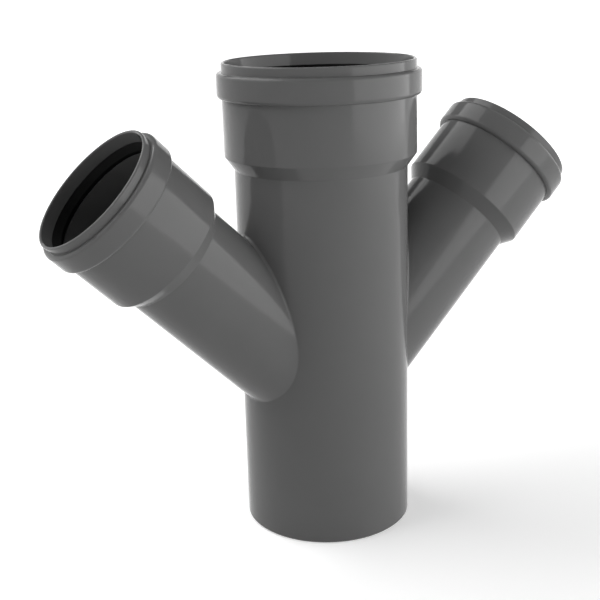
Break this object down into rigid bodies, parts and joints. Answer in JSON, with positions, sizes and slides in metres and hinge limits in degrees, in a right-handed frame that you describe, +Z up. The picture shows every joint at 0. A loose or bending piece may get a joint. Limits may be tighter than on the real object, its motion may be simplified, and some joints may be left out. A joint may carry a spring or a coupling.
{
  "type": "double wye",
  "caption": "Drain pipe fitting: a straight run with a plain spigot, slanted side branches opposite each other, and push-fit sockets with lip seals.",
  "frame": {"origin": "centre of the spigot's end face, which is the bottom of the part", "axes": "+Z up the run towards its socket, +X towards the right branch, both branches in the XZ plane"},
  "size_m": [0.3646, 0.128, 0.3044],
  "materials": {
    "grey_plastic": "smooth moulded plastic with a soft gloss",
    "black_rubber": "matt black moulded rubber"
  },
  "bodies": {
    "root": {"body": "grey_plastic", "run_seal": "black_rubber", "left_branch_seal": "black_rubber", "right_branch_seal": "black_rubber"}
  },
  "joints": []
}
